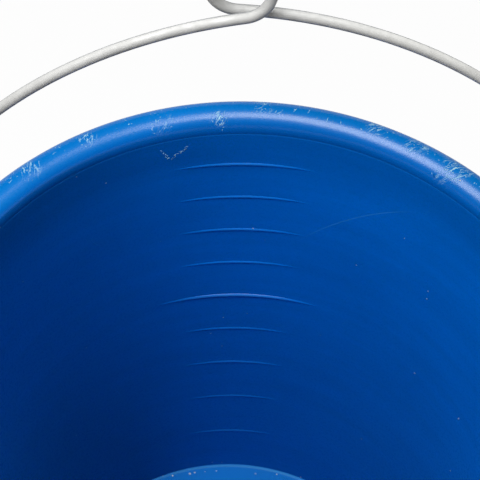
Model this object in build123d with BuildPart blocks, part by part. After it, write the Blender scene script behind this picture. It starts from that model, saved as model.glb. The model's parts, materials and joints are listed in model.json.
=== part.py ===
"""Ten-litre moulded bucket with a wire bail that carries a hanging eye.

Millimetres. Z is up, the foot ring stands on Z = 0 and the bucket's axis is the Z axis.
The litre marks are inside on the +Y wall, and the ears that carry the bail are on the X axis.
"""

import math
import os

from build123d import *

# Vessel: inside sizes fix the capacity
inner_floor_radius = 96.1
inner_rim_radius = 127.7
inner_depth = 249.0
wall = 2.3
floor_thickness = 2.4
foot_height = 5.0
foot_width = 3.0
foot_chamfer = 0.8
floor_corner_radius = 3.0

# Rolled rim: a half-round bead, hollow below, with a turned-down lip, above a fine parting step
bead_radius = 8.0
rim_wall = 2.2
hollow_chamfer = 3.4
lip_depth = 7.0
lip_chamfer = 0.6
parting_step = 0.25

# Litre marks: low half-round ridges that sink into the wall towards both ends
litre = 1.0e6
marked_litres = 9
halfway_litre = 5
mark_arc = 29.0
halfway_mark_arc = 40.0
mark_height = 0.7
halfway_mark_height = 0.9
mark_round = 1.1

# Gate mark under the floor, where the plastic entered the mould
gate_recess_radius = 6.0
gate_recess_depth = 0.8
gate_radius = 1.8
gate_height = 0.5

# Ears: round-ended tabs that continue the lip, braced to the wall by two ribs
ear_thickness = 3.0
ear_rib = 2.0
ear_rib_drop = 6.0
pivot_below_rim_line = 14.0

# Bail: galvanised wire, leaning back from the upright, with its eye pulled off the middle by use
wire_diameter = 3.6
bail_side_gap = 2.0
bail_lean = 7.0
eye_height = 212.0
eye_off_centre = 11.2
eye_radius = 9.5
eye_tilt = 3.6
crown_slope = 6.9
eye_turn_gap = 0.5
leg_bend_radius = 4.0
hook_bend_radius = 4.0
hook_straight = 5.0
hook_gap = 0.5
hook_swing_gap = 3.5
wire_end_chamfer = 0.5
ear_hole_clearance = 0.6

# Derived sizes
inner_floor = foot_height + floor_thickness
rim_line = inner_floor + inner_depth
wall_slope = (inner_rim_radius - inner_floor_radius) / inner_depth
foot_radius = inner_floor_radius + wall - wall_slope * inner_floor
bead_centre = inner_rim_radius + parting_step + bead_radius
hollow_radius = bead_radius - rim_wall
rim_radius = bead_centre + bead_radius
hollow_top = rim_line + hollow_radius
lip_end = rim_line - lip_depth
wall_top_radius = bead_centre - hollow_radius
pivot_height = rim_line - pivot_below_rim_line
ear_inner_radius = rim_radius - ear_thickness
wire_radius = wire_diameter / 2
bail_half_span = rim_radius + bail_side_gap + wire_radius
ear_width = 2 * (hook_bend_radius + hook_straight + hook_swing_gap + ear_rib)


def inner_radius_at(height):
    """Inside radius of the wall, at a height above the foot."""
    return inner_floor_radius + wall_slope * (height - inner_floor)


def outer_radius_at(height):
    """Outside radius of the wall, at a height above the foot."""
    return foot_radius + (wall_top_radius - foot_radius) * height / rim_line


def mid_wall_radius_at(height):
    """Radius half-way through the wall, at a height above the foot."""
    return (inner_radius_at(height) + outer_radius_at(height)) / 2


def fill_height(litres):
    """Height above the foot that this much water reaches in the tapered vessel."""
    cone = 3 * wall_slope * litres * litre / math.pi
    return inner_floor + ((inner_floor_radius**3 + cone) ** (1 / 3) - inner_floor_radius) / wall_slope


def filled_litres(height):
    """Litres of water that the vessel holds, up to a height above the foot."""
    brim_radius = inner_radius_at(height)
    cone = (brim_radius**3 - inner_floor_radius**3) / (3 * wall_slope)
    return math.pi * cone / litre


def biarc(start, start_direction, end, end_direction):
    """Meeting point of the two arcs that join two points smoothly in space, and the heading there."""
    span = end - start
    headings = start_direction + end_direction
    turn = 2 * (start_direction.dot(end_direction) - 1)
    along = span.dot(headings)
    reach = (along - math.sqrt(along**2 - turn * span.dot(span))) / turn
    first_corner = start + start_direction * reach
    last_corner = end - end_direction * reach
    return (first_corner + last_corner) / 2, (last_corner - first_corner).normalized()


os.makedirs("parts", exist_ok=True)

# Litre marks: each is a ring of larger radius than the wall, so that only a crescent of it shows
with BuildPart() as litre_marks:
    for litres in range(1, marked_litres + 1):
        halfway = litres == halfway_litre
        height = halfway_mark_height if halfway else mark_height
        arc = halfway_mark_arc if halfway else mark_arc
        level = fill_height(litres)
        wall_radius = inner_radius_at(level)
        half_length = wall_radius * math.radians(arc) / 2
        ring_radius = 1 / (1 / wall_radius - 2 * height / half_length**2)
        ring_centre = wall_radius + mark_round - height - ring_radius
        with Locations((0, ring_centre, level)):
            Torus(ring_radius, mark_round)
    with BuildSketch(Plane.XZ):
        with BuildLine():
            Polyline(
                (0, inner_floor),
                (mid_wall_radius_at(inner_floor), inner_floor),
                (mid_wall_radius_at(rim_line), rim_line),
                (0, rim_line),
                close=True,
            )
        make_face()
    revolve(axis=Axis.Z, mode=Mode.INTERSECT)

# Ear on the +X side: a round-ended tab cut from the lip's own ring, two ribs and the hole for the wire
with BuildPart() as ear:
    with BuildSketch(Plane.YZ):
        with Locations((0, pivot_height)):
            Circle(ear_width / 2)
        with Locations((0, (pivot_height + rim_line) / 2)):
            Rectangle(ear_width, rim_line - pivot_height)
    extrude(amount=rim_radius)
    with BuildSketch(Plane.XZ):
        with Locations(((ear_inner_radius + rim_radius) / 2, rim_line / 2)):
            Rectangle(ear_thickness, rim_line)
    revolve(axis=Axis.Z, mode=Mode.INTERSECT)
    rib_angle = math.degrees(math.asin((ear_width - ear_rib) / 2 / rim_radius))
    rib_top = rim_line + hollow_radius / 2
    rib_foot = pivot_height - ear_rib_drop
    for angle in (-rib_angle, rib_angle):
        with BuildSketch(Plane.XZ.rotated((0, 0, angle))):
            with BuildLine():
                Polyline(
                    (mid_wall_radius_at(rib_foot), rib_foot),
                    (ear_inner_radius + ear_thickness / 2, pivot_height),
                    (ear_inner_radius + ear_thickness / 2, rib_top),
                    (bead_centre - hollow_radius - rim_wall / 2, rib_top),
                    close=True,
                )
            make_face()
        extrude(amount=ear_rib / 2, both=True)
    with BuildSketch(Plane.YZ.offset(ear_inner_radius + ear_thickness / 2)):
        with Locations((0, pivot_height)):
            Circle(wire_radius + ear_hole_clearance)
    extrude(amount=ear_thickness, both=True, mode=Mode.SUBTRACT)

# Bucket: the moulded vessel, with its marks and ears
with BuildPart() as bucket_body:
    with BuildSketch(Plane.XZ) as wall_section:
        with BuildLine():
            Polyline(
                (rim_radius, rim_line),
                (rim_radius, lip_end),
                (rim_radius - rim_wall, lip_end),
                (rim_radius - rim_wall, hollow_top - hollow_chamfer),
                (rim_radius - rim_wall - hollow_chamfer, hollow_top),
                (wall_top_radius + hollow_chamfer, hollow_top),
                (wall_top_radius, hollow_top - hollow_chamfer),
                (wall_top_radius, rim_line),
                (foot_radius, 0),
                (foot_radius - foot_width, 0),
                (foot_radius - foot_width, foot_height),
                (0, foot_height),
                (0, inner_floor),
                (inner_floor_radius, inner_floor),
                (inner_rim_radius, rim_line),
                (inner_rim_radius + parting_step, rim_line),
            )
            ThreePointArc(
                (inner_rim_radius + parting_step, rim_line),
                (bead_centre, rim_line + bead_radius),
                (rim_radius, rim_line),
            )
        make_face()
        corners = wall_section.vertices()
        chamfer(corners.sort_by_distance((foot_radius, 0))[:2], foot_chamfer)
        corners = wall_section.vertices()
        chamfer(corners.sort_by_distance((rim_radius, lip_end))[:2], lip_chamfer)
        corners = wall_section.vertices()
        fillet(corners.sort_by_distance((inner_floor_radius, inner_floor))[0], floor_corner_radius)
    revolve(axis=Axis.Z)
    add(litre_marks.part)
    with PolarLocations(0, 2):
        add(ear.part)
    with BuildSketch(Plane.XY.offset(foot_height)):
        Circle(gate_recess_radius)
    extrude(amount=gate_recess_depth, mode=Mode.SUBTRACT)
    with BuildSketch(Plane.XY.offset(foot_height + gate_recess_depth)):
        Circle(gate_radius)
    extrude(amount=-gate_height)

bucket_body.part.label = "bucket_body"
export_step(bucket_body.part, "parts/bucket_body.step")

# Halves of the bail, from the top of the eye to a hooked end, upright with the eye over the origin
leftwards = Vector(-1, 0, 0)
upwards = Vector(0, 0, 1)
turn_offset = (wire_diameter + eye_turn_gap) / 2
eye_top = Vector(0, 0, eye_height + eye_radius)
halves = []
for side in (1, -1):
    slope = math.radians(crown_slope - side * eye_tilt)
    span = bail_half_span + side * eye_off_centre
    down_the_leg = Vector(math.cos(slope), 0, -math.sin(slope))
    eye_foot = Vector(-eye_radius * math.sin(slope), turn_offset, eye_height - eye_radius * math.cos(slope))
    leg_foot = Vector(span, 0, leg_bend_radius)
    pin_start = Vector(span - leg_bend_radius, 0, 0)
    pin_end = Vector(ear_inner_radius - hook_gap + side * eye_off_centre, 0, 0)
    hook_foot = Vector(pin_end.X - hook_bend_radius, 0, hook_bend_radius)
    hook_tip = hook_foot + upwards * hook_straight
    with BuildPart() as half_bail:
        with BuildLine() as half_path:
            eye_side, eye_heading = biarc(eye_top, leftwards, eye_foot, down_the_leg)
            TangentArc(eye_top, eye_side, tangent=leftwards)
            TangentArc(eye_side, eye_foot, tangent=eye_heading)
            shoulder, shoulder_heading = biarc(eye_foot, down_the_leg, leg_foot, -upwards)
            TangentArc(eye_foot, shoulder, tangent=down_the_leg)
            TangentArc(shoulder, leg_foot, tangent=shoulder_heading)
            TangentArc(leg_foot, pin_start, tangent=-upwards)
            Line(pin_start, pin_end)
            TangentArc(pin_end, hook_foot, tangent=leftwards)
            Line(hook_foot, hook_tip)
        with BuildSketch(Plane(origin=eye_top, z_dir=leftwards)):
            Circle(wire_radius)
        sweep(path=half_path.wires()[0])
        cut_end = faces().sort_by_distance(hook_tip)[0]
        chamfer(cut_end.edges(), wire_end_chamfer)
    halves.append(half_bail.part)

# Bail: both halves meet at the top of the eye, one of them turned half round
lean = math.radians(bail_lean)
bail_frame = Plane(
    origin=(-eye_off_centre, 0, pivot_height),
    x_dir=(1, 0, 0),
    z_dir=(0, math.sin(lean), math.cos(lean)),
)
with BuildPart(bail_frame) as bail_wire:
    add(halves[0])
    add(halves[1], rotation=(0, 0, 180))

bail_wire.part.label = "bail_wire"
export_step(bail_wire.part, "parts/bail_wire.step")

print(f"holds {filled_litres(rim_line):.2f} litres to the line under the rim")
print(f"rim {2 * rim_radius:.1f} across, {rim_line + bead_radius:.1f} high, pivot at {pivot_height:.1f}")
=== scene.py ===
"""Looks of a ten-litre blue bucket with a galvanised wire bail, laid out as a Blender add-on.

Metres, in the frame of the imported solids: Z is up, the bucket stands on Z = 0, the litre marks
are inside on the +Y wall and the bail hinges about the X axis.
"""

import json
import math
from collections import namedtuple

import bmesh
import bpy
from bpy.props import FloatProperty, FloatVectorProperty, IntProperty, PointerProperty
from bpy.types import NodeSocket, Operator, Panel, PropertyGroup
from mathutils import Matrix, Quaternion, Vector


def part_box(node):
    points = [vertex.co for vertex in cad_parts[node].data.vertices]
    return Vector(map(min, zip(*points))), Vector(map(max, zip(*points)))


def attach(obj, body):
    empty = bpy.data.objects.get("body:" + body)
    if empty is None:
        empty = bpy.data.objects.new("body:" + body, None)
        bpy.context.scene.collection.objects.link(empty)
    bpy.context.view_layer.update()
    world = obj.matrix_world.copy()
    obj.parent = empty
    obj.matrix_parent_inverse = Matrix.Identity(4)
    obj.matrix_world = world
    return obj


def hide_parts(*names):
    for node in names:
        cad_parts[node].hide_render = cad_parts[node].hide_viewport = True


bl_info = {
    "name": "Ten-litre bucket",
    "version": (1, 0, 0),
    "blender": (4, 5, 0),
    "location": "3D View > Sidebar > Bucket",
    "description": "Models a moulded bucket with litre marks and a hinged wire bail",
    "category": "Add Mesh",
}

MM = 0.001
LITRE = 0.001
WELD = 1e-6

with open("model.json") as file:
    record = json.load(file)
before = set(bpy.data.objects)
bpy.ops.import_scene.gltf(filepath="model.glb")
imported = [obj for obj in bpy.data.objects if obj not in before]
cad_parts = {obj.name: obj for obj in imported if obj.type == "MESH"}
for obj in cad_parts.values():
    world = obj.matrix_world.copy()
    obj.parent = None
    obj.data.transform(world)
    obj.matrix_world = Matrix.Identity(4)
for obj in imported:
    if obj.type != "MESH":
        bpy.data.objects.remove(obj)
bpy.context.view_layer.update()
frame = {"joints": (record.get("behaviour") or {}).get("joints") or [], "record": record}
BUCKET_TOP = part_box("bucket_body")[1]
BAIL_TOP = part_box("bail_wire")[1]
HINGE = Vector(frame["joints"][0]["pos_m"])
EYE = Vector(next(m["pos_m"] for m in frame["record"]["mounts"] if m["name"] == "hanging_eye"))


def linear(hex_colour):
    """Linear RGBA of an sRGB hex colour."""
    channels = [int(hex_colour[i : i + 2], 16) / 255 for i in (1, 3, 5)]
    return (*(c / 12.92 if c <= 0.04045 else ((c + 0.055) / 1.055) ** 2.4 for c in channels), 1.0)


def length(name, description, millimetres):
    """A length for the sidebar, whose default is given in millimetres."""
    return FloatProperty(
        name=name,
        description=description,
        default=millimetres * MM,
        precision=4,
        unit="LENGTH",
    )


def angle(name, description, degrees):
    """An angle for the sidebar, whose default is given in degrees."""
    return FloatProperty(
        name=name,
        description=description,
        default=math.radians(degrees),
        subtype="ANGLE",
    )


def amount(name, description, default):
    """A plain amount for the sidebar, from nothing up."""
    return FloatProperty(name=name, description=description, default=default, min=0.0)


def colour(name, description, hex_colour):
    """A colour for the sidebar, whose default is given as an sRGB hex value."""
    return FloatVectorProperty(
        name=name,
        description=description,
        default=linear(hex_colour),
        size=4,
        min=0.0,
        max=1.0,
        subtype="COLOR",
    )


class VesselSizes(PropertyGroup):
    """Sizes of the moulded vessel"""

    rim_radius: length("Rim radius", "Outside radius of the rim", BUCKET_TOP.x / MM)
    rim_top: length("Rim top", "Height of the rim above the foot", BUCKET_TOP.z / MM)
    floor_radius: length("Floor radius", "Inside radius at the floor", 96.1)
    wall: length("Wall", "Thickness of the wall at the floor", 2.3)
    floor_thickness: length("Floor", "Thickness of the floor", 2.4)
    floor_corner: length("Floor corner", "Rounding where the floor meets the wall", 1.6)
    foot_height: length("Foot height", "Height of the foot ring under the floor", 5.0)
    foot_width: length("Foot width", "Width of the foot ring", 3.0)
    edge_round: length("Edge rounding", "Rounding of the foot's and lip's edges", 0.8)
    bead_radius: length("Bead radius", "Radius of the rim's half-round bead", 8.0)
    rim_wall: length("Rim wall", "Thickness of the bead and its lip", 2.2)
    hollow_round: length("Hollow rounding", "Rounding of the channel under the bead", 4.4)
    lip_depth: length("Lip depth", "How far the lip turns down below the bead", 7.0)
    parting_step: length("Parting step", "Step in the wall where the mould's halves met", 0.1)
    parting_run: length("Parting run", "Height over which the parting step runs out", 0.5)
    gate_recess: length("Gate recess", "Radius of the dimple round the gate mark", 6.0)
    gate_depth: length("Gate depth", "Depth of the dimple round the gate mark", 0.8)
    gate_radius: length("Gate radius", "Radius of the sheared-off gate", 1.8)
    gate_height: length("Gate height", "Height of the sheared-off gate", 0.5)
    segments: IntProperty(name="Segments", description="Faces round the bucket", default=256, min=32)

    @property
    def rim_line(self):
        return self.rim_top - self.bead_radius

    @property
    def bead_centre(self):
        return self.rim_radius - self.bead_radius

    @property
    def wall_rim_radius(self):
        return self.bead_centre - self.bead_radius - self.parting_step

    @property
    def inner_floor(self):
        return self.foot_height + self.floor_thickness

    @property
    def slope(self):
        return (self.wall_rim_radius - self.floor_radius) / (self.rim_line - self.inner_floor)

    @property
    def foot_radius(self):
        return self.floor_radius + self.wall - self.slope * self.inner_floor

    @property
    def hollow_radius(self):
        return self.bead_radius - self.rim_wall

    @property
    def wall_top_radius(self):
        return self.bead_centre - self.hollow_radius

    def inner_radius_at(self, height):
        """Inside radius of the wall, at a height above the foot."""
        return self.floor_radius + self.slope * (height - self.inner_floor)

    def outer_radius_at(self, height):
        """Outside radius of the wall, at a height above the foot."""
        return self.foot_radius + (self.wall_top_radius - self.foot_radius) * height / self.rim_line

    def fill_height(self, litres):
        """Height above the foot that this much water reaches."""
        cone = 3 * self.slope * litres * LITRE / math.pi
        brim = (self.floor_radius**3 + cone) ** (1 / 3)
        return self.inner_floor + (brim - self.floor_radius) / self.slope


class MarkSizes(PropertyGroup):
    """Sizes of the raised litre marks"""

    count: IntProperty(name="Marks", description="Whole litres that are marked", default=9, min=1)
    halfway: IntProperty(name="Halfway mark", description="The litre with the long mark", default=5, min=1)
    arc: angle("Arc", "Arc of the wall that a mark takes up", 29.0)
    halfway_arc: angle("Halfway arc", "Arc of the wall that the long mark takes up", 40.0)
    height: length("Height", "How far the highest of the short marks stands out of the wall", 0.45)
    halfway_height: length("Halfway height", "How far the long mark stands out of the wall", 0.7)
    lowest_share: FloatProperty(
        name="Lowest share",
        description="How far the lowest mark stands out as a share of the top one",
        default=0.95,
        min=0.1,
        max=3.0,
    )
    even_share: FloatProperty(
        name="Even share",
        description="How far the even litres' marks stand out as a share of the odd ones",
        default=0.9,
        min=0.1,
        max=1.0,
    )
    rounding: length("Rounding", "Radius of a mark's half-round section", 1.1)


class EarSizes(PropertyGroup):
    """Sizes of the ears that carry the bail"""

    width: length("Width", "Width of an ear", 29.0)
    thickness: length("Thickness", "Thickness of an ear's tab", 3.0)
    rib: length("Rib", "Thickness of a rib behind an ear", 2.0)
    rib_drop: length("Rib drop", "How far the ribs run down the wall below the hole", 6.0)
    hole_radius: length("Hole radius", "Radius of the hole for the wire", 2.4)
    edge_round: length("Edge rounding", "Rounding of an ear's edges", 0.4)


class BailSizes(PropertyGroup):
    """Sizes of the wire bail"""

    wire_radius: length("Wire radius", "Radius of the wire", 1.8)
    eye_radius: length("Eye radius", "Radius of the eye, to the middle of the wire", 9.5)
    eye_turn_gap: length("Turn gap", "Gap between the wires where they cross at the eye", 0.5)
    eye_tilt: angle("Eye tilt", "How far use has turned the eye over to its short side", 3.6)
    crown_slope: angle("Crown slope", "Slope of the legs as they leave the eye", 6.9)
    bend_radius: length("Bend radius", "Radius of the bends at the ears", 4.0)
    hook_set_back: length("Hook set-back", "Gap between an ear's back and the hook behind it", 0.5)
    hook_straight: length("Hook straight", "Straight end of the hook", 5.0)
    end_chamfer: length("End chamfer", "Chamfer on the wire's cut end", 0.5)
    segments: IntProperty(name="Segments", description="Faces round the wire", default=24, min=8)


class FinishColours(PropertyGroup):
    """Colours of the plastic, the wire and the floor"""

    plastic: colour("Plastic", "Blue of the moulded plastic", "#0076CC")
    # Painted shade: a deeper blue laid over the inside
    shaded_inside_blue: colour("Unfaded", "Deeper blue of the plastic inside, out of the sun", "#007CE6")
    scuff: colour("Scuff", "Whitened plastic where the rim is scuffed", "#ADE0F5")
    # Also the tint of the painted highlights along the parting step and the floor's edge
    rubbed: colour("Rubbed", "Paler plastic on edges that are rubbed", "#3E9DE0")
    grit: colour("Grit", "Specks of dry grit on the plastic", "#CBD3D8")
    dirt: colour("Dirt", "Dark specks on the plastic", "#0A2C52")
    zinc: colour("Zinc", "Dull galvanised zinc", "#BABAB8")
    bare_zinc: colour("Bare zinc", "Zinc rubbed bright by use", "#C2C2C0")
    # Pale grey painted on the wire towards +X as painted light
    painted_light: colour("Bloom", "White oxide on the zinc", "#E2E2DE")
    # Grey painted on the wire's back as painted shade
    back_shade_grey: colour("Tarnish", "Zinc darkened where nothing rubs it", "#86898C")
    nick: colour("Nick", "Dark nicks in the zinc", "#5B5850")
    floor: colour("Floor", "Studio floor", "#F4F4F4")


class StageSettings(PropertyGroup):
    """Light and camera"""

    softbox_width: length("Softbox width", "Longer side of the softbox overhead", 560.0)
    softbox_depth: length("Softbox depth", "Shorter side of the softbox overhead", 380.0)
    softbox_power: amount("Softbox power", "Power of the softbox in watts", 5.8)
    softbox_turn: angle("Softbox turn", "How far the softbox is turned from left to right", 24.0)
    strip_width: length("Strip width", "Width of each low strip light round the outside", 300.0)
    strip_height: length("Strip height", "Height of each low strip light", 120.0)
    strip_distance: length("Strip distance", "Distance of the low strips from the bucket's axis", 700.0)
    strip_lift: length("Strip lift", "Height of the low strips above the floor", 120.0)
    strip_spread: angle("Strip spread", "Full angle of the beam of each low strip", 40.0)
    strip_tilt: angle("Strip tilt", "How far the low strips point down", 3.0)
    strip_power: amount("Strip power", "Power of each low strip in watts", 0.17)
    sky: amount("Sky", "Strength of the light from all round", 0.02)
    backdrop_radius: length("Backdrop radius", "Distance of the backdrop from the bucket", 8000.0)
    backdrop_height: length("Backdrop height", "Height of the backdrop", 2200.0)
    lens: FloatProperty(name="Lens", description="Focal length", default=122.898, subtype="DISTANCE_CAMERA")
    roll: angle("Roll", "How far the camera leans", 3.724)


class BucketSettings(PropertyGroup):
    """Everything that the bucket's operators read"""

    vessel: PointerProperty(type=VesselSizes)
    marks: PointerProperty(type=MarkSizes)
    ears: PointerProperty(type=EarSizes)
    bail: PointerProperty(type=BailSizes)
    colours: PointerProperty(type=FinishColours)
    stage: PointerProperty(type=StageSettings)


# Places of the camera, the point it looks at and the softbox
CAMERA_PLACE = Vector((-30.6, -316.5, 811.2)) * MM
CAMERA_AIM = Vector((-1.5, 100.0, 216.2)) * MM
SOFTBOX_PLACE = Vector((-168.0, -32.0, 900.0)) * MM

# Knocks on the rim: bearing from +Y and roll round the bead in degrees, reach in millimetres
Knock = namedtuple("Knock", "bearing roll reach")
RIM_KNOCKS = (
    Knock(bearing=-42, roll=75, reach=8),
    Knock(bearing=-30, roll=80, reach=6),
    Knock(bearing=-16, roll=110, reach=7),
    Knock(bearing=-5, roll=130, reach=6),
    Knock(bearing=3, roll=80, reach=6),
    Knock(bearing=24, roll=75, reach=6),
    Knock(bearing=32, roll=80, reach=7),
    Knock(bearing=40, roll=100, reach=10),
)

# A dotted scrape inside, under the rim, with one sharp turn: bearing in degrees, height in millimetres
SCRAPE_START = (-17, 252)
SCRAPE_TURN = (-15, 245)
SCRAPE_END = (-11, 252)

# A long arc on the unrolled wall, swept by something that was scooped out
SCOOP_MIDDLE = Vector((205.0, 36.0, 0.0)) * MM
SCOOP_RADIUS = 237 * MM

# Settings that several nodes share
SMOOTH = {"interpolation_type": "SMOOTHSTEP"}
FLAT_NOISE = {"noise_dimensions": "2D"}
COLOUR_MIX = {"output": 2, "data_type": "RGBA"}


def node(tree, kind, inputs=(), output=0, **settings):
    """Adds a shader node with its settings and inputs, and gives one of its outputs."""
    made = tree.nodes.new("ShaderNode" + kind)
    for setting, value in settings.items():
        setattr(made, setting, value)
    for key, value in inputs.items() if isinstance(inputs, dict) else enumerate(inputs):
        if isinstance(value, NodeSocket):
            tree.links.new(value, made.inputs[key])
        else:
            made.inputs[key].default_value = value
    return made.outputs[output] if len(made.outputs) else made


def new_material(name):
    """An empty node material, with its tree and the socket for its surface."""
    material = bpy.data.materials.new(name)
    material.use_nodes = True
    tree = material.node_tree
    tree.nodes.clear()
    surface = node(tree, "OutputMaterial").inputs["Surface"]
    return material, tree, surface


def most(tree, masks):
    """The greatest of several masks."""
    greatest = masks[0]
    for mask in masks[1:]:
        greatest = node(tree, "Math", [greatest, mask], operation="MAXIMUM")
    return greatest


def near_spots(tree, sheet, spots):
    """A mask that is 1 at each spot of an unrolled surface and fades to 0 at the spot's reach."""
    core = 0.2
    masks = []
    for spot, reach in spots:
        away = node(tree, "VectorMath", [sheet, spot], output="Value", operation="DISTANCE")
        fade = {"Value": away, "From Min": reach, "From Max": core * reach}
        masks.append(node(tree, "MapRange", fade, **SMOOTH))
    return most(tree, masks)


def near_strokes(tree, sheet, strokes, width):
    """A mask of thin strokes on an unrolled surface, each from point to point and thickest in its middle."""
    core = 0.3
    masks = []
    for start, end in strokes:
        to_start = node(tree, "VectorMath", [sheet, start], output="Value", operation="DISTANCE")
        to_end = node(tree, "VectorMath", [sheet, end], output="Value", operation="DISTANCE")
        detour = node(tree, "Math", [to_start, to_end], operation="ADD")
        straight = (end - start).length
        spare = width**2 / (2 * straight)
        fade = {"Value": detour, "From Min": straight + spare, "From Max": straight + core * spare}
        masks.append(node(tree, "MapRange", fade))
    return most(tree, masks)


def scratches(tree, sheet, density, cell, stroke_length, stroke_width, turn_from=0.0, turn_to=math.tau):
    """Bent strokes on an unrolled surface, each of its own turn and strength, in some of a net's cells."""
    most_bend = 0.15 * stroke_length
    weakest = 0.25
    net = node(tree, "TexVoronoi", {"Vector": sheet, "Scale": 1 / cell}, voronoi_dimensions="2D").node
    local = node(tree, "VectorMath", [sheet, net.outputs["Position"]], operation="SUBTRACT")
    turn_share, chance, bend_share = (
        node(tree, "SeparateColor", [net.outputs["Color"]], output=i) for i in range(3)
    )
    turn = node(tree, "MapRange", {"Value": turn_share, "To Min": turn_from, "To Max": turn_to})
    turned = node(tree, "VectorRotate", {"Vector": local, "Angle": turn}, rotation_type="Z_AXIS")
    along = node(tree, "SeparateXYZ", [turned], output=0)
    across = node(tree, "SeparateXYZ", [turned], output=1)
    share = node(tree, "Math", [along, 2 / stroke_length], operation="MULTIPLY")
    taper = node(tree, "Math", [share, share], operation="MULTIPLY")
    bend = node(tree, "MapRange", {"Value": bend_share, "To Min": -most_bend, "To Max": most_bend})
    bent = node(tree, "Math", [taper, bend, across], operation="MULTIPLY_ADD")
    offset = node(tree, "Math", [bent], operation="ABSOLUTE")
    reach = node(tree, "Math", [offset, 2 / stroke_width, taper], operation="MULTIPLY_ADD")
    stroke = node(tree, "MapRange", {"Value": reach, "From Min": 1.2, "From Max": 0.5})
    held = node(tree, "Math", [chance, density], operation="LESS_THAN")
    strength = node(tree, "MapRange", {"Value": bend_share, "To Min": weakest})
    seen = node(tree, "Math", [held, strength], operation="MULTIPLY")
    return node(tree, "Math", [stroke, seen], operation="MULTIPLY")


def specks(tree, place, share, cell, size):
    """Round specks in a share of the cells of a random net, of sizes up to the given one."""
    most_radius = size / cell
    soft_edge = 0.3 * most_radius
    net = node(tree, "TexVoronoi", {"Vector": place, "Scale": 1 / cell}).node
    chance = node(tree, "SeparateColor", [net.outputs["Color"]])
    radius = node(tree, "MapRange", {"Value": chance, "From Min": 1.0 - share, "To Max": most_radius})
    inside = node(tree, "Math", [radius, net.outputs["Distance"]], operation="SUBTRACT")
    return node(tree, "MapRange", {"Value": inside, "From Max": soft_edge})


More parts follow.
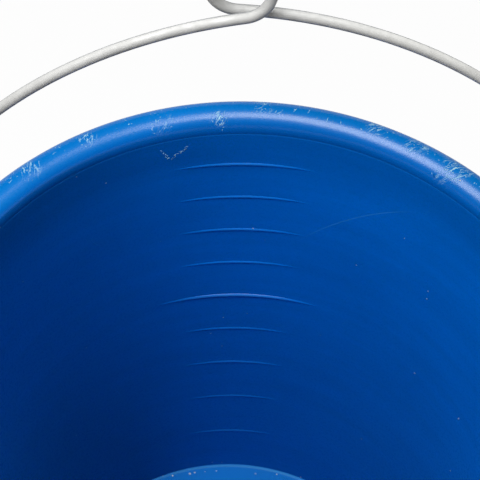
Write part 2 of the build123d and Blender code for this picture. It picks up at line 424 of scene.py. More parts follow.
def moulded_polyethylene():
    """Blue polyethylene, injection moulded against polished steel and then used for years.

    Satin gloss with a slow waviness, colour that drifts a little, whitened scuffs where the rim has been
    knocked, specks of grit, fine scratches, painted shade inside, darker low down, under the rim, on the
    bead's inner side and on the -X side and in a deeper blue, and painted highlights along the parting step
    and the floor's edge.
    """
    name = "blue_moulded_polyethylene"
    if name in bpy.data.materials:
        return bpy.data.materials[name]
    material, tree, surface = new_material(name)
    settings = bpy.context.scene.bucket
    vessel, marks, colours = settings.vessel, settings.marks, settings.colours

    place = node(tree, "TexCoord", output="Object")
    x, y, z = (node(tree, "SeparateXYZ", [place], output=i) for i in range(3))
    bearing = node(tree, "Math", [x, y], operation="ARCTAN2")
    flat = node(tree, "CombineXYZ", [x, y, 0.0])
    radius = node(tree, "VectorMath", [flat], output="Value", operation="LENGTH")

    # Rim unrolled: distance round the bucket, and distance round the bead from its outside
    above = node(tree, "Math", [z, vessel.rim_line], operation="SUBTRACT")
    beyond = node(tree, "Math", [radius, vessel.bead_centre], operation="SUBTRACT")
    roll = node(tree, "Math", [above, beyond], operation="ARCTAN2")
    round_rim = node(tree, "Math", [bearing, vessel.bead_centre], operation="MULTIPLY")
    round_bead = node(tree, "Math", [roll, vessel.bead_radius], operation="MULTIPLY")
    rim = node(tree, "CombineXYZ", [round_rim, round_bead, 0.0])
    bead_edge = {"Value": above, "From Min": 0.5 * MM, "From Max": 2.0 * MM}
    on_bead = node(tree, "MapRange", bead_edge, **SMOOTH)

    # Wall unrolled: distance round the bucket, and height
    round_wall = node(tree, "Math", [bearing, radius], operation="MULTIPLY")
    wall = node(tree, "CombineXYZ", [round_wall, z, 0.0])

    # Both of them shaken a little, so that strokes drawn on them come out ragged
    shake_grain = 0.8 * MM
    shake_reach = 0.9 * MM
    noise = node(tree, "TexNoise", {"Vector": place, "Scale": 1 / shake_grain}, output="Color")
    centred = node(tree, "VectorMath", [noise, (0.5, 0.5, 0.0)], operation="SUBTRACT")
    shake = node(tree, "VectorMath", [centred, (shake_reach, shake_reach, 0.0)], operation="MULTIPLY")
    ragged_rim = node(tree, "VectorMath", [rim, shake], operation="ADD")
    ragged_wall = node(tree, "VectorMath", [wall, shake], operation="ADD")

    def rim_spot(knock):
        along_rim = math.radians(knock.bearing) * vessel.bead_centre
        return Vector((along_rim, math.radians(knock.roll) * vessel.bead_radius, 0.0))

    def wall_spot(degrees, millimetres):
        height = millimetres * MM
        return Vector((math.radians(degrees) * vessel.inner_radius_at(height), height, 0.0))

    # Wear of the rim: in knocks, and in patches on the bead's outer half, more of them on the +X side
    knock_wear = 0.4
    patch_size = 9 * MM
    knocks = near_spots(tree, rim, [(rim_spot(knock), knock.reach * MM) for knock in RIM_KNOCKS])
    knocked = node(tree, "Math", [knocks, knock_wear], operation="MULTIPLY")
    patches = node(tree, "TexNoise", {"Vector": rim, "Scale": 1 / patch_size, "Detail": 2.0}, **FLAT_NOISE)
    patch_wear = {"Value": patches, "From Min": 0.5, "From Max": 0.8, "To Min": 0.04, "To Max": 0.28}
    worn = node(tree, "MapRange", patch_wear)
    more_wear = {"Value": bearing, "From Min": math.radians(20), "From Max": math.radians(30), "To Max": 0.2}
    well_worn = node(tree, "MapRange", more_wear)
    much_worn = node(tree, "Math", [worn, well_worn], operation="ADD")
    crown = {"Value": roll, "From Min": math.radians(115), "From Max": math.radians(85)}
    outer_half = node(tree, "MapRange", crown, **SMOOTH)
    worn_half = node(tree, "Math", [much_worn, outer_half], operation="MULTIPLY")
    wear = node(tree, "Math", [knocked, worn_half], operation="MAXIMUM")

    # Scuffs: slanting streaks in the knocks, long and short strokes and pits, all with a chalky grain
    streak_slant = math.radians(-58)
    streak_length = 6.0 * MM
    streak_width = 0.7 * MM
    chalk_grain = 0.7 * MM
    combed_place = node(
        tree,
        "Mapping",
        {"Vector": rim, "Rotation": (0.0, 0.0, streak_slant), "Scale": (streak_length, streak_width, 1.0)},
        vector_type="TEXTURE",
    )
    combing = {"Vector": combed_place, "Scale": 1.0, "Detail": 2.0, "Distortion": 0.7}
    comb = node(tree, "TexNoise", combing, **FLAT_NOISE)
    streaks = node(tree, "MapRange", {"Value": comb, "From Min": 0.56, "From Max": 0.63})
    gusts = node(tree, "MapRange", {"Value": patches, "From Min": 0.4, "From Max": 0.55})
    gusty = node(tree, "Math", [streaks, gusts], operation="MULTIPLY")
    combed = node(tree, "Math", [gusty, knocks], operation="MULTIPLY")
    long_strokes = scratches(
        tree,
        ragged_rim,
        density=knocked,
        cell=4.5 * MM,
        stroke_length=5.0 * MM,
        stroke_width=0.7 * MM,
        turn_from=math.radians(20),
        turn_to=math.radians(110),
    )
    short_strokes = scratches(
        tree,
        rim,
        density=wear,
        cell=2.8 * MM,
        stroke_length=3.2 * MM,
        stroke_width=0.4 * MM,
        turn_from=math.radians(10),
        turn_to=math.radians(110),
    )
    pits = scratches(tree, rim, density=wear, cell=1.4 * MM, stroke_length=1.0 * MM, stroke_width=0.45 * MM)
    strokes = most(tree, [combed, long_strokes, short_strokes, pits])
    on_rim = node(tree, "Math", [strokes, on_bead], operation="MULTIPLY")
    chalk = node(tree, "TexNoise", {"Vector": place, "Scale": 1 / chalk_grain, "Detail": 2.0})
    chalky = node(tree, "MapRange", {"Value": chalk, "From Min": 0.38, "From Max": 0.55, "To Min": 0.4})
    scuffs = node(tree, "Math", [on_rim, chalky], operation="MULTIPLY")

    # Dark nicks in the well-worn part of the rim, and a dotted scrape inside, under the rim
    scrape_width = 1.8 * MM
    dot_size = 1.3 * MM
    nick_share = node(tree, "Math", [well_worn, knocks], operation="MULTIPLY")
    nicks = scratches(
        tree,
        ragged_rim,
        density=nick_share,
        cell=4.0 * MM,
        stroke_length=2.0 * MM,
        stroke_width=0.7 * MM,
    )
    turns = [wall_spot(*point) for point in (SCRAPE_START, SCRAPE_TURN, SCRAPE_END)]
    scraped = near_strokes(tree, ragged_wall, list(zip(turns, turns[1:])), scrape_width)
    dots = node(tree, "TexNoise", {"Vector": wall, "Scale": 1 / dot_size, "Detail": 1.0}, **FLAT_NOISE)
    dotted = node(tree, "MapRange", {"Value": dots, "From Min": 0.53, "From Max": 0.6})
    scrape = node(tree, "Math", [scraped, dotted], operation="MULTIPLY")

    # Fine scratches all over the wall, and one long arc swept by something that was scooped out
    fine = scratches(tree, wall, density=0.1, cell=16 * MM, stroke_length=14 * MM, stroke_width=0.3 * MM)
    from_middle = node(tree, "VectorMath", [wall, SCOOP_MIDDLE], output="Value", operation="DISTANCE")
    off_arc = node(tree, "Math", [from_middle, SCOOP_RADIUS], operation="SUBTRACT")
    off_line = node(tree, "Math", [off_arc], operation="ABSOLUTE")
    arc_line = node(tree, "MapRange", {"Value": off_line, "From Min": 0.35 * MM, "From Max": 0.1 * MM})
    arc_from = node(tree, "MapRange", {"Value": round_wall, "From Min": 25 * MM, "From Max": 40 * MM})
    arc_to = node(tree, "MapRange", {"Value": round_wall, "From Min": 80 * MM, "From Max": 66 * MM})
    arc_ends = node(tree, "Math", [arc_from, arc_to], operation="MULTIPLY")
    arc_mark = node(tree, "Math", [arc_line, arc_ends], operation="MULTIPLY")
    lines = node(tree, "Math", [fine, arc_mark], operation="MAXIMUM")

    # Grit: odd specks all over and lumps at the floor's edge; and a painted highlight, a pale line at the
    # floor's edge and level with it outside
    corner_width = 5 * MM
    edge_height = 0.5 * MM
    off_floor = node(tree, "Math", [z, vessel.inner_floor], operation="SUBTRACT")
    low = node(tree, "MapRange", {"Value": off_floor, "From Min": 4.0 * MM, "From Max": 1.5 * MM})
    off_wall = node(tree, "Math", [radius, vessel.floor_radius - corner_width], operation="SUBTRACT")
    outward = node(tree, "MapRange", {"Value": off_wall, "From Max": 3.0 * MM})
    corner = node(tree, "Math", [low, outward], operation="MULTIPLY")
    loose_lumps = specks(tree, place, share=0.6, cell=3 * MM, size=0.9 * MM)
    lumps = node(tree, "Math", [loose_lumps, corner], operation="MULTIPLY")
    grit = most(tree, [specks(tree, place, share=0.35, cell=6 * MM, size=0.45 * MM), lumps])
    above_edge = node(tree, "Math", [off_floor, edge_height], operation="SUBTRACT")
    from_edge = node(tree, "Math", [above_edge], operation="ABSOLUTE")
    edge = node(tree, "MapRange", {"Value": from_edge, "From Min": 0.5 * MM, "From Max": 0.2 * MM})
    floor_edge_highlight = node(tree, "Math", [edge, outward], operation="MULTIPLY")

    # Dark dirt: faint specks, and the nicks
    speck_strength = 0.6
    dark_specks = specks(tree, place, share=0.12, cell=13 * MM, size=0.5 * MM)
    faint_specks = node(tree, "Math", [dark_specks, speck_strength], operation="MULTIPLY")
    dirt = node(tree, "Math", [faint_specks, nicks], operation="MAXIMUM")

    # Rubbed crests of the litre marks, which stand proud of the wall
    cone = [off_floor, vessel.slope, vessel.floor_radius]
    wall_radius = node(tree, "Math", cone, operation="MULTIPLY_ADD")
    proud = node(tree, "Math", [wall_radius, radius], operation="SUBTRACT")
    crest_rise = {"Value": proud, "From Min": 0.4 * marks.height, "From Max": 1.2 * marks.height}
    crest = node(tree, "MapRange", crest_rise)
    clear_of_marks = {"Value": proud, "From Min": 3 * marks.height, "From Max": 2 * marks.height}
    clear = node(tree, "MapRange", clear_of_marks)
    crests = node(tree, "Math", [crest, clear], operation="MULTIPLY")

    # Inside: painted shade, darkest low down, under the rim, on the bead's inner side and on the -X side,
    # and a painted highlight, a pale line along the parting step by the rim
    side_shade_strength = 0.9
    rim_shade_strength = 0.65
    bead_shade_strength = 0.9
    inside = node(tree, "MapRange", {"Value": proud, "From Min": -1.2 * MM, "From Max": -0.6 * MM})
    inner_wall = node(tree, "Math", [inside, clear], operation="MULTIPLY")
    sinking = {"Value": z, "From Min": vessel.rim_line, "From Max": vessel.inner_floor, "To Max": 1.25}
    depth = node(tree, "MapRange", sinking, **SMOOTH)
    side = node(tree, "Math", [x, radius], operation="DIVIDE")
    shaded_side = node(tree, "MapRange", {"Value": side, "From Min": 0.1, "From Max": -0.8}, **SMOOTH)
    # Painted shade: how much to darken, from the -X side and from depth
    thickness = node(tree, "Math", [shaded_side, side_shade_strength, depth], operation="MULTIPLY_ADD")
    under_rim = node(tree, "MapRange", {"Value": above, "From Min": -35 * MM, "From Max": 0.0}, **SMOOTH)
    shade_with_rim = node(tree, "Math", [under_rim, rim_shade_strength, thickness], operation="MULTIPLY_ADD")
    wall_shade = node(tree, "Math", [inner_wall, shade_with_rim], operation="MULTIPLY")
    bead_inside = {"Value": roll, "From Min": math.radians(115), "From Max": math.radians(150)}
    turned_in = node(tree, "MapRange", bead_inside, **SMOOTH)
    inner_surface = node(tree, "Math", [inner_wall, turned_in], operation="MAXIMUM")
    bead_shade = node(tree, "Math", [turned_in, bead_shade_strength], operation="MULTIPLY")
    painted_shade = node(tree, "Math", [wall_shade, bead_shade], operation="MAXIMUM")
    # Painted highlight: a pale line along the parting step by the rim
    from_line = node(tree, "Math", [above], operation="ABSOLUTE")
    line = node(tree, "MapRange", {"Value": from_line, "From Min": 0.5 * MM, "From Max": 0.25 * MM})
    parting_line_highlight = node(tree, "Math", [line, inside], operation="MULTIPLY")

    # Colour: blue that drifts over 60 mm and in faint level smears, darkened by the painted shade, and a
    # deeper blue inside as painted shade
    drift_size = 60 * MM
    smear_length = 70 * MM
    smear_width = 6 * MM
    drift = node(tree, "TexNoise", {"Vector": place, "Scale": 1 / drift_size, "Detail": 3.0})
    smear_scale = (1 / smear_length, 1 / smear_width, 1.0)
    smear_place = node(tree, "Mapping", {"Vector": wall, "Scale": smear_scale})
    smears = node(tree, "TexNoise", {"Vector": smear_place, "Scale": 1.0, "Detail": 3.0}, **FLAT_NOISE)
    both = node(tree, "Math", [drift, smears], operation="ADD")
    unevenness = {"Value": both, "From Min": 0.7, "From Max": 1.3, "To Min": 0.93, "To Max": 1.06}
    value = node(tree, "MapRange", unevenness)
    # Painted shade: the colour darkened by up to two thirds where that amount is greatest
    painted_shading = node(tree, "MapRange", {"Value": painted_shade, "From Max": 1.9, "To Min": 1.0, "To Max": 0.34})
    shade = node(tree, "Math", [value, painted_shading], operation="MULTIPLY")
    # Painted shade: the inside takes the deeper blue
    dye = node(tree, "Mix", {0: inner_surface, 6: colours.plastic[:], 7: colours.shaded_inside_blue[:]}, **COLOUR_MIX)
    paint = node(tree, "HueSaturation", {"Value": shade, "Color": dye})

    # Over it, from first to last, what wear and dirt add and the painted highlights, each at its strength
    for coat, strength, tint in (
        (crests, 0.25, colours.rubbed),
        (dirt, 1.0, colours.dirt),
        (lines, 0.5, colours.rubbed),
        # painted highlight along the parting step
        (parting_line_highlight, 0.1, colours.rubbed),
        # painted highlight along the floor's edge, inside and level with it outside
        (floor_edge_highlight, 0.8, colours.rubbed),
        (grit, 1.0, colours.grit),
        (scrape, 1.0, colours.scuff),
        (scuffs, 1.0, colours.scuff),
    ):
        laid = node(tree, "Math", [coat, strength], operation="MULTIPLY")
        paint = node(tree, "Mix", {0: laid, 6: paint, 7: tint[:]}, **COLOUR_MIX)

    # Gloss: satin with a fine grain, duller where scoured, rubbed or outside, dullest in scuffs and grit
    grain_size = 1.2 * MM
    rubbed_roughness = 0.5
    broken_roughness = 0.65
    grain = node(tree, "TexNoise", {"Vector": place, "Scale": 1 / grain_size, "Detail": 3.0})
    sheen = {"Value": grain, "From Min": 0.3, "From Max": 0.7, "To Min": 0.25, "To Max": 0.32}
    satin = node(tree, "MapRange", sheen)
    scoured = node(tree, "MapRange", {"Value": off_floor, "From Min": 6.0 * MM, "From Max": 0.5 * MM})
    below_rim = node(tree, "MapRange", {"Value": above, "From Min": 0.0, "From Max": -1.0 * MM})
    not_inside = node(tree, "Math", [1.0, inside], operation="SUBTRACT")
    outer_wall = node(tree, "Math", [below_rim, not_inside], operation="MULTIPLY")
    rubbed = most(tree, [scoured, crests, outer_wall])
    dulled = node(tree, "Mix", {0: rubbed, 2: satin, 3: rubbed_roughness}, data_type="FLOAT")
    broken = most(tree, [scuffs, scrape, grit])
    roughness = node(tree, "Mix", {0: broken, 2: dulled, 3: broken_roughness}, data_type="FLOAT")

    # Reflections: weak on the floor, the outside and the nicks, and halfway weak over the inside
    soiled_share = 0.5
    half_dulled = node(tree, "Math", [inner_surface, soiled_share], operation="MULTIPLY")
    bead_outside = {"Value": roll, "From Min": math.radians(85), "From Max": math.radians(60)}
    weathered = node(tree, "MapRange", bead_outside, **SMOOTH)
    outside = node(tree, "Math", [weathered, on_bead], operation="MULTIPLY")
    weakened = most(tree, [scoured, outer_wall, half_dulled, outside, nicks])
    gloss = node(tree, "MapRange", {"Value": weakened, "To Min": 0.5, "To Max": 0.1})

    # Relief: slow waviness of the moulding, fine grain, and burrs and grit standing up
    wave_size = 25 * MM
    waviness = node(tree, "TexNoise", {"Vector": place, "Scale": 1 / wave_size, "Detail": 2.0})
    wavy = node(tree, "Bump", {"Height": waviness, "Strength": 0.1, "Distance": 1.0 * MM})
    grainy = node(tree, "Bump", {"Height": grain, "Strength": 0.05, "Distance": 0.2 * MM, "Normal": wavy})
    burred = node(tree, "Bump", {"Height": broken, "Strength": 0.6, "Distance": 0.2 * MM, "Normal": grainy})

    finish = {"Base Color": paint, "Roughness": roughness, "Specular IOR Level": gloss, "Normal": burred}
    shader = node(tree, "BsdfPrincipled", {"IOR": 1.5, **finish})
    tree.links.new(shader, surface)
    return material


def galvanised_wire():
    """Steel wire, hot-dip galvanised and handled for years.

    Dull light grey zinc with paler patches where it has been rubbed, painted light that makes it paler
    towards +X, painted shade that darkens its back, a faint mottle and dark nicks.
    """
    name = "galvanised_steel_wire"
    if name in bpy.data.materials:
        return bpy.data.materials[name]
    material, tree, surface = new_material(name)
    colours = bpy.context.scene.bucket.colours
    patch_size = 7 * MM
    fleck_size = 2.5 * MM

    place = node(tree, "TexCoord", output="Object")
    patches = node(tree, "TexNoise", {"Vector": place, "Scale": 1 / patch_size, "Detail": 1.0})
    rubbed = node(tree, "MapRange", {"Value": patches, "From Min": 0.4, "From Max": 0.62})
    flecks = node(tree, "TexNoise", {"Vector": place, "Scale": 1 / fleck_size, "Detail": 1.0})
    fleck_shade = {"Value": flecks, "From Min": 0.35, "From Max": 0.65, "To Min": 0.94, "To Max": 1.03}
    mottle = node(tree, "MapRange", fleck_shade)
    nicked = specks(tree, place, share=0.25, cell=5 * MM, size=0.7 * MM)
    across = node(tree, "SeparateXYZ", [place])
    # Painted light: the wire made paler towards +X
    painted_light = node(tree, "MapRange", {"Value": across, "From Max": 75 * MM, "To Max": 0.95})
    # Painted shade: the side whose normal faces +Y is darkened
    facing = node(tree, "TexCoord", output="Normal")
    back = node(tree, "SeparateXYZ", [facing], output=1)
    back_shade = node(tree, "MapRange", {"Value": back, "From Min": 0.1, "From Max": 0.5, "To Max": 0.85})
    zinc = node(tree, "Mix", {0: rubbed, 6: colours.zinc[:], 7: colours.bare_zinc[:]}, **COLOUR_MIX)
    lit_paler = node(tree, "Mix", {0: painted_light, 6: zinc, 7: colours.painted_light[:]}, **COLOUR_MIX)
    shaded_back = node(tree, "Mix", {0: back_shade, 6: lit_paler, 7: colours.back_shade_grey[:]}, **COLOUR_MIX)
    mottled = node(tree, "HueSaturation", {"Value": mottle, "Color": shaded_back})
    nicks = node(tree, "Mix", {0: nicked, 6: mottled, 7: colours.nick[:]}, **COLOUR_MIX)
    metal = node(tree, "MapRange", {"Value": rubbed, "To Min": 0.05, "To Max": 0.2})
    roughness = node(tree, "MapRange", {"Value": rubbed, "To Min": 0.65, "To Max": 0.55})
    relief = node(tree, "Bump", {"Height": flecks, "Strength": 0.15, "Distance": 0.1 * MM})
    finish = {"Base Color": nicks, "Metallic": metal, "Roughness": roughness, "Normal": relief}
    shader = node(tree, "BsdfPrincipled", finish)
    tree.links.new(shader, surface)
    return material


def studio_floor():
    """Matt pale floor that shows as white, mostly from its own light, and keeps some of the shadow."""
    own_light = 0.97
    material, tree, surface = new_material("pale_studio_floor")
    matt = node(tree, "BsdfDiffuse", {"Color": bpy.context.scene.bucket.colours.floor[:]})
    white = node(tree, "Emission", {"Strength": 1.0})
    camera = node(tree, "LightPath", output="Is Camera Ray")
    glossy = node(tree, "LightPath", output="Is Glossy Ray")
    through = node(tree, "LightPath", output="Is Transmission Ray")
    share = node(tree, "Math", [most(tree, [camera, glossy, through]), own_light], operation="MULTIPLY")
    mixed = node(tree, "MixShader", [share, matt, white])
    tree.links.new(mixed, surface)
    return material


def finish_piece(bm, name, body, material, stands_for=None):
    """Turns a closed shape into a finished piece of the object that rides on a body."""
    crease = math.radians(35)
    bmesh.ops.remove_doubles(bm, verts=bm.verts, dist=WELD)
    bmesh.ops.recalc_face_normals(bm, faces=bm.faces)
    if not all(edge.is_manifold for edge in bm.edges):
        raise RuntimeError(f"{name} is not closed")
    for face in bm.faces:
        face.smooth = True
    for edge in bm.edges:
        edge.smooth = edge.calc_face_angle(0.0) < crease
    mesh = bpy.data.meshes.new(name)
    bm.to_mesh(mesh)
    bm.free()
    mesh.materials.append(material)
    piece = bpy.data.objects.new(name, mesh)
    bpy.context.scene.collection.objects.link(piece)
    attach(piece, body)
    if stands_for:
        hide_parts(stands_for)
    return piece


def verts_in(geometry):
    """The vertices among what an operator made."""
    return [g for g in geometry if isinstance(g, bmesh.types.BMVert)]


def edges_in(geometry):
    """The edges among what an operator made."""
    return [g for g in geometry if isinstance(g, bmesh.types.BMEdge)]


def turn_round(bm, verts, turn):
    """Turns vertices round the Z axis."""
    bmesh.ops.rotate(bm, verts=verts, cent=(0, 0, 0), matrix=Matrix.Rotation(turn, 3, "Z"))


def full_turn(bm, steps):
    """Spins a section once round the Z axis."""
    bmesh.ops.spin(
        bm,
        geom=bm.verts[:] + bm.edges[:],
        cent=(0, 0, 0),
        axis=(0, 0, 1),
        angle=math.tau,
        steps=steps,
        use_merge=True,
    )


def draw_section(bm, corners):
    """Draws a chain through corners given as radius, height and rounding, in the plane Y = 0."""
    fine_step = 0.4 * MM
    least_steps = 2
    most_steps = 24
    points = [bm.verts.new((radius, 0, height)) for radius, height, _ in corners]
    for start, end in zip(points, points[1:]):
        bm.edges.new((start, end))
    for point, (_, _, rounding) in zip(points, corners):
        if rounding:
            bmesh.ops.bevel(
                bm,
                geom=[point],
                offset=rounding,
                offset_type="OFFSET",
                segments=min(least_steps + int(rounding / fine_step), most_steps),
                profile=0.5,
                affect="VERTICES",
                material=-1,
            )
    bmesh.ops.remove_doubles(bm, verts=bm.verts, dist=WELD)


def half_turn_copy(bm):
    """Adds a copy of a shape, turned half round the Z axis."""
    other = bmesh.ops.duplicate(bm, geom=bm.verts[:] + bm.edges[:] + bm.faces[:])
    turn_round(bm, verts_in(other["geom"]), math.pi)


def join_shapes(shapes):
    """One shape out of several, which are used up."""
    joined = bmesh.new()
    for shape in shapes:
        part = bpy.data.meshes.new("shape")
        shape.to_mesh(part)
        shape.free()
        joined.from_mesh(part)
        bpy.data.meshes.remove(part)
    return joined


class BUCKET_OT_vessel(Operator):
    """Turns the vessel from its section: gate mark, foot ring, tapered wall, rolled rim and floor"""

    bl_idname = "bucket.vessel"
    bl_label = "Vessel"

    def execute(self, context):
        vessel = context.scene.bucket.vessel
        dimple = vessel.foot_height + vessel.gate_depth
        gate = dimple - vessel.gate_height
        foot_inside = vessel.foot_radius - vessel.foot_width
        lip_inside = vessel.rim_radius - vessel.rim_wall
        lip_end = vessel.rim_line - vessel.lip_depth
        hollow_top = vessel.rim_line + vessel.hollow_radius
        bead_inside = vessel.wall_rim_radius + vessel.parting_step
        step_end = vessel.rim_line - vessel.parting_run
        sharp = vessel.parting_step / 4
        bm = bmesh.new()
        draw_section(
            bm,
            [
                (0.0, gate, 0.0),
                (vessel.gate_radius, gate, sharp),
                (vessel.gate_radius, dimple, sharp),
                (vessel.gate_recess, dimple, sharp),
                (vessel.gate_recess, vessel.foot_height, sharp),
                (foot_inside, vessel.foot_height, vessel.edge_round),
                (foot_inside, 0.0, vessel.edge_round),
                (vessel.foot_radius, 0.0, vessel.edge_round),
                (vessel.wall_top_radius, vessel.rim_line, vessel.edge_round),
                (vessel.wall_top_radius, hollow_top, vessel.hollow_round),
                (lip_inside, hollow_top, vessel.hollow_round),
                (lip_inside, lip_end, vessel.edge_round),
                (vessel.rim_radius, lip_end, vessel.edge_round),
                (vessel.rim_radius, vessel.rim_top, vessel.bead_radius),
                (bead_inside, vessel.rim_top, vessel.bead_radius),
                (bead_inside, vessel.rim_line, sharp),
                (vessel.inner_radius_at(step_end), step_end, sharp),
                (vessel.floor_radius, vessel.inner_floor, vessel.floor_corner),
                (0.0, vessel.inner_floor, 0.0),
            ],
        )
        longest = 12 * MM
        for edge in [edge for edge in bm.edges if edge.calc_length() > longest]:
            bmesh.ops.subdivide_edges(bm, edges=[edge], cuts=int(edge.calc_length() / longest))
        full_turn(bm, vessel.segments)
        finish_piece(bm, "vessel", "bucket", moulded_polyethylene(), "bucket_body")
        return {"FINISHED"}


class BUCKET_OT_litre_marks(Operator):
    """Raises a crescent with its upper edge at each whole litre, from a rod bent wider than the wall"""

    bl_idname = "bucket.litre_marks"
    bl_label = "Litre marks"

    def execute(self, context):
        settings = context.scene.bucket
        vessel, marks = settings.vessel, settings.marks
        overrun = 1.03
        rod_segments = 16
        rod_steps = 48
        bm = bmesh.new()
        for litres in range(1, marks.count + 1):
            long = litres == marks.halfway
            worn = marks.lowest_share + (1 - marks.lowest_share) * (litres - 1) / max(marks.count - 1, 1)
            even = marks.even_share if litres % 2 == 0 else 1.0
            height = marks.halfway_height if long else marks.height * worn * even
            arc = marks.halfway_arc if long else marks.arc
            level = vessel.fill_height(litres) - marks.rounding
            wall_radius = vessel.inner_radius_at(level)
            half_length = wall_radius * arc / 2
            rod_radius = 1 / (1 / wall_radius - 2 * height / half_length**2)
            rod_middle = wall_radius + marks.rounding - height
            half_turn = overrun * half_length / rod_radius
            axis = Vector((0, rod_middle - rod_radius, level))
            start = (
                Matrix.Translation(axis)
                @ Matrix.Rotation(half_turn, 4, "Z")
                @ Matrix.Translation((0, rod_radius, 0))
                @ Matrix.Rotation(math.pi / 2, 4, "Y")
            )
            end = bmesh.ops.create_circle(
                bm,
                cap_ends=True,
                radius=marks.rounding,
                segments=rod_segments,
                matrix=start,
            )
            ring = {edge for vert in end["verts"] for edge in vert.link_edges}
            far = bmesh.ops.spin(
                bm,
                geom=end["verts"] + list(ring),
                cent=axis,
                axis=(0, 0, 1),
                angle=-2 * half_turn,
                steps=rod_steps,
            )
            bmesh.ops.contextual_create(bm, geom=edges_in(far["geom_last"]))
        finish_piece(bm, "litre_marks", "bucket", moulded_polyethylene())
        return {"FINISHED"}


def round_edges(bm, rounding):
    """Rounds every sharp edge of a shape."""
    square = math.radians(60)
    rounding_steps = 3
    bmesh.ops.recalc_face_normals(bm, faces=bm.faces)
    bmesh.ops.bevel(
        bm,
        geom=[edge for edge in bm.edges if edge.calc_face_angle(0.0) > square],
        offset=rounding,
        offset_type="OFFSET",
        segments=rounding_steps,
        profile=0.5,
        affect="EDGES",
        material=-1,
    )


def thicken(bm, by):
    """Gives the flat faces of a shape a thickness along a vector."""
    made = bmesh.ops.extrude_face_region(bm, geom=bm.faces[:])
    bmesh.ops.translate(bm, verts=verts_in(made["geom"]), vec=by)


def ear_tab(vessel, ears):
    """A round-ended tab with a hole, bent to the rim's own curve, on the +X side."""
    hole_segments = 48

    def on_shoulder(vert):
        from_hole = math.hypot(vert.co.y, vert.co.z - HINGE.z)
        return vert.co.z > HINGE.z - WELD and from_hole > ears.width / 3

    bm = bmesh.new()
    upright = Matrix.Translation((0, 0, HINGE.z)) @ Matrix.Rotation(math.pi / 2, 4, "Y")
    for radius in (ears.hole_radius, ears.width / 2):
        bmesh.ops.create_circle(bm, cap_ends=False, radius=radius, segments=hole_segments, matrix=upright)
    bmesh.ops.bridge_loops(bm, edges=bm.edges[:])
    shoulder = [edge for edge in bm.edges if edge.is_boundary and all(map(on_shoulder, edge.verts))]
    if not shoulder:
        raise RuntimeError("the ear's outline has no upper half")
    raised = bmesh.ops.extrude_edge_only(bm, edges=shoulder)
    for vert in verts_in(raised["geom"]):
        vert.co.z = vessel.rim_line
    thicken(bm, (ears.thickness, 0, 0))
    round_edges(bm, ears.edge_round)
    for vert in bm.verts:
        reach = vessel.rim_radius - ears.thickness + vert.co.x
        vert.co.x = math.sqrt(reach**2 - vert.co.y**2)
    return bm


def ear_rib(vessel, ears, turn):
    """A rib that braces the tab to the wall, turned round the bucket from the +X side."""
    bm = bmesh.new()
    tab_middle = vessel.rim_radius - ears.thickness / 2
    foot = HINGE.z - ears.rib_drop
    top = vessel.rim_line + vessel.hollow_radius / 2
    in_wall = vessel.wall / 2
    outline = [
        (vessel.outer_radius_at(foot) - in_wall, foot),
        (tab_middle, HINGE.z),
        (tab_middle, top),
        (vessel.wall_top_radius - in_wall, top),
    ]
    bm.faces.new([bm.verts.new((radius, -ears.rib / 2, height)) for radius, height in outline])
    thicken(bm, (0, ears.rib, 0))
    round_edges(bm, ears.edge_round)
    turn_round(bm, bm.verts, turn)
    return bm


class BUCKET_OT_ears(Operator):
    """Adds the two ears under the rim, each a tab with a hole and two ribs"""

    bl_idname = "bucket.ears"
    bl_label = "Ears"

    def execute(self, context):
        settings = context.scene.bucket
        vessel, ears = settings.vessel, settings.ears
        rib_turn = math.asin((ears.width - ears.rib) / 2 / vessel.rim_radius)
        ribs = [ear_rib(vessel, ears, turn) for turn in (rib_turn, -rib_turn)]
        bm = join_shapes([ear_tab(vessel, ears), *ribs])
        half_turn_copy(bm)
        finish_piece(bm, "ears", "bucket", moulded_polyethylene())
        return {"FINISHED"}


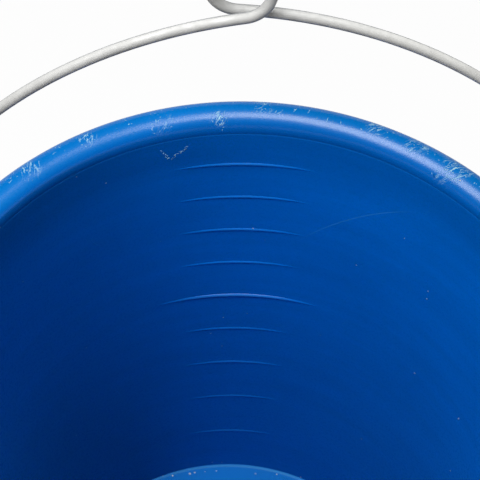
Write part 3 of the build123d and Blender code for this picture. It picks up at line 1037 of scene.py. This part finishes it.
class WireBender:
    """Bends a round wire along straight runs and arcs, from a start point and heading."""

    least_steps = 8
    step_length = 4 * MM
    step_turn = math.radians(5)

    def __init__(self, start, heading, radius, segments):
        self.bm = bmesh.new()
        self.point = start
        self.heading = heading.normalized()
        self.radius = radius
        across = Matrix.Translation(start) @ self.heading.to_track_quat("Z", "Y").to_matrix().to_4x4()
        made = bmesh.ops.create_circle(
            self.bm,
            cap_ends=False,
            radius=radius,
            segments=segments,
            matrix=across,
        )
        self.ring = list({edge for vert in made["verts"] for edge in vert.link_edges})

    def ring_verts(self):
        """Vertices of the wire's open end."""
        return list({vert for edge in self.ring for vert in edge.verts})

    def arc_to(self, end):
        """Follows the arc that leaves along the heading and reaches a point."""
        chord = end - self.point
        aside = (chord - self.heading * chord.dot(self.heading)).normalized()
        bend_radius = chord.dot(chord) / (2 * chord.dot(aside))
        turn = 2 * math.atan2(chord.dot(aside), chord.dot(self.heading))
        axis = self.heading.cross(aside)
        steps = max(self.least_steps, int(bend_radius * turn / self.step_length), int(turn / self.step_turn))
        made = bmesh.ops.spin(
            self.bm,
            geom=self.ring_verts() + self.ring,
            cent=self.point + aside * bend_radius,
            axis=axis,
            angle=turn,
            steps=steps,
        )
        self.ring = edges_in(made["geom_last"])
        self.heading = Quaternion(axis, turn) @ self.heading
        self.point = end

    def run_to(self, end):
        """Follows a straight run to a point ahead."""
        made = bmesh.ops.extrude_edge_only(self.bm, edges=self.ring)["geom"]
        self.ring = [edge for edge in edges_in(made) if edge.is_boundary]
        bmesh.ops.translate(self.bm, verts=self.ring_verts(), vec=end - self.point)
        self.point = end

    def biarc_to(self, end, end_heading):
        """Follows two arcs of equal reach that arrive at a point along a heading."""
        span = end - self.point
        turn = 2 * (self.heading.dot(end_heading) - 1)
        along = span.dot(self.heading + end_heading)
        reach = (along - math.sqrt(along**2 - turn * span.dot(span))) / turn
        self.arc_to((self.point + self.heading * reach + end - end_heading * reach) / 2)
        self.arc_to(end)

    def cut(self, chamfer):
        """Ends the wire in a flat cut with a chamfer."""
        self.run_to(self.point + self.heading * chamfer)
        bmesh.ops.scale(
            self.bm,
            verts=self.ring_verts(),
            vec=[1 - chamfer / self.radius] * 3,
            space=Matrix.Translation(-self.point),
        )
        bmesh.ops.contextual_create(self.bm, geom=self.ring)


def half_bail(vessel, ears, bail, side):
    """The wire from the top of the eye to the hook on one side, upright with the eye over the origin."""
    up, left = Vector((0, 0, 1)), Vector((-1, 0, 0))
    eye_height = math.hypot(EYE.y - HINGE.y, EYE.z - HINGE.z)
    off_centre = -side * EYE.x
    span = BAIL_TOP.x - bail.wire_radius + off_centre
    slope = bail.crown_slope - side * bail.eye_tilt
    down_leg = Vector((math.cos(slope), 0, -math.sin(slope)))
    eye_foot = Vector(
        (
            -bail.eye_radius * math.sin(slope),
            bail.wire_radius + bail.eye_turn_gap / 2,
            eye_height - bail.eye_radius * math.cos(slope),
        )
    )
    hook_x = vessel.rim_radius - ears.thickness - bail.hook_set_back + off_centre
    hook_foot = Vector((hook_x - bail.bend_radius, 0, bail.bend_radius))
    wire = WireBender(up * (eye_height + bail.eye_radius), left, bail.wire_radius, bail.segments)
    wire.biarc_to(eye_foot, down_leg)
    wire.biarc_to(Vector((span, 0, bail.bend_radius)), -up)
    wire.arc_to(Vector((span - bail.bend_radius, 0, 0)))
    wire.run_to(Vector((hook_x, 0, 0)))
    wire.arc_to(hook_foot)
    wire.run_to(hook_foot + up * (bail.hook_straight - bail.end_chamfer))
    wire.cut(bail.end_chamfer)
    if side < 0:
        turn_round(wire.bm, wire.bm.verts, math.pi)
    return wire.bm


class BUCKET_OT_bail(Operator):
    """Bends the wire bail: a full-turn eye near the middle, two arched legs and a hook through each ear"""

    bl_idname = "bucket.bail"
    bl_label = "Bail"

    def execute(self, context):
        settings = context.scene.bucket
        vessel, ears, bail = settings.vessel, settings.ears, settings.bail
        bm = join_shapes([half_bail(vessel, ears, bail, side) for side in (1, -1)])
        lean = math.atan2(EYE.y - HINGE.y, EYE.z - HINGE.z)
        place = Matrix.Translation((EYE.x, HINGE.y, HINGE.z)) @ Matrix.Rotation(-lean, 4, "X")
        bmesh.ops.transform(bm, verts=bm.verts, matrix=place)
        finish_piece(bm, "bail", "bail", galvanised_wire(), "bail_wire")
        return {"FINISHED"}


def area_lamp(name, width, height, power):
    """A rectangular lamp that the camera doesn't see."""
    light = bpy.data.lights.new(name, "AREA")
    light.shape = "RECTANGLE"
    light.size = width
    light.size_y = height
    light.energy = power
    lamp = bpy.data.objects.new(name, light)
    lamp.visible_camera = False
    bpy.context.scene.collection.objects.link(lamp)
    return lamp


class BUCKET_OT_stage(Operator):
    """Sets the pale floor with its curved backdrop, the softbox overhead, four low strips and the camera"""

    bl_idname = "bucket.stage"
    bl_label = "Stage"

    def execute(self, context):
        stage = context.scene.bucket.stage
        scene = context.scene

        # Floor that curves up into the backdrop
        floor_steps = 64
        bm = bmesh.new()
        far = stage.backdrop_radius
        draw_section(bm, [(0, 0, 0), (far, 0, stage.backdrop_height / 2), (far, stage.backdrop_height, 0)])
        full_turn(bm, floor_steps)
        bmesh.ops.remove_doubles(bm, verts=bm.verts, dist=WELD)
        mesh = bpy.data.meshes.new("studio_floor")
        bm.to_mesh(mesh)
        bm.free()
        mesh.materials.append(studio_floor())
        floor = bpy.data.objects.new("studio_floor", mesh)
        scene.collection.objects.link(floor)

        # Softbox overhead, and strips all round that stand below the rim and light the outside
        softbox = area_lamp("softbox", stage.softbox_width, stage.softbox_depth, stage.softbox_power)
        softbox.location = SOFTBOX_PLACE
        softbox.rotation_euler.z = stage.softbox_turn
        up = Vector((0, 0, 1))
        strip_bearings = range(45, 360, 90)
        for degrees in strip_bearings:
            outward = Matrix.Rotation(math.radians(degrees), 3, "Z") @ Vector((1, 0, 0))
            beam = -outward * math.cos(stage.strip_tilt) - up * math.sin(stage.strip_tilt)
            strip = area_lamp("low_strip", stage.strip_width, stage.strip_height, stage.strip_power)
            strip.data.spread = stage.strip_spread
            strip.location = outward * stage.strip_distance + up * stage.strip_lift
            strip.rotation_euler = beam.to_track_quat("-Z", "Y").to_euler()
            strip.visible_glossy = False

        # Faint light from all round
        world = bpy.data.worlds.new("soft_sky")
        world.use_nodes = True
        sky = world.node_tree.nodes["Background"]
        sky.inputs["Strength"].default_value = stage.sky
        sky.inputs["Color"].default_value = linear("#FFFFFF")
        scene.world = world

        # Camera at the viewing angle
        lens = bpy.data.cameras.new("camera")
        lens.lens = stage.lens
        camera = bpy.data.objects.new("camera", lens)
        camera.location = CAMERA_PLACE
        look = (CAMERA_AIM - CAMERA_PLACE).to_track_quat("-Z", "Y")
        camera.rotation_mode = "QUATERNION"
        camera.rotation_quaternion = look @ Quaternion((0, 0, 1), stage.roll)
        scene.collection.objects.link(camera)
        scene.camera = camera
        scene.view_settings.view_transform = "Standard"
        return {"FINISHED"}


class BUCKET_PT_sidebar(Panel):
    """Lists the bucket's pieces"""

    bl_idname = "BUCKET_PT_sidebar"
    bl_label = "Bucket"
    bl_space_type = "VIEW_3D"
    bl_region_type = "UI"
    bl_category = "Bucket"

    def draw(self, context):
        for operator in OPERATORS:
            self.layout.operator(operator.bl_idname)


GROUPS = (VesselSizes, MarkSizes, EarSizes, BailSizes, FinishColours, StageSettings, BucketSettings)
OPERATORS = (
    BUCKET_OT_vessel,
    BUCKET_OT_litre_marks,
    BUCKET_OT_ears,
    BUCKET_OT_bail,
    BUCKET_OT_stage,
)
CLASSES = (*GROUPS, *OPERATORS, BUCKET_PT_sidebar)


def register():
    for cls in CLASSES:
        bpy.utils.register_class(cls)
    bpy.types.Scene.bucket = PointerProperty(type=BucketSettings)


def unregister():
    del bpy.types.Scene.bucket
    for cls in reversed(CLASSES):
        bpy.utils.unregister_class(cls)


def main():
    """Builds the bucket and its stage."""
    register()
    bpy.ops.bucket.vessel()
    bpy.ops.bucket.litre_marks()
    bpy.ops.bucket.ears()
    bpy.ops.bucket.bail()
    bpy.ops.bucket.stage()


if __name__ == "__main__":
    main()
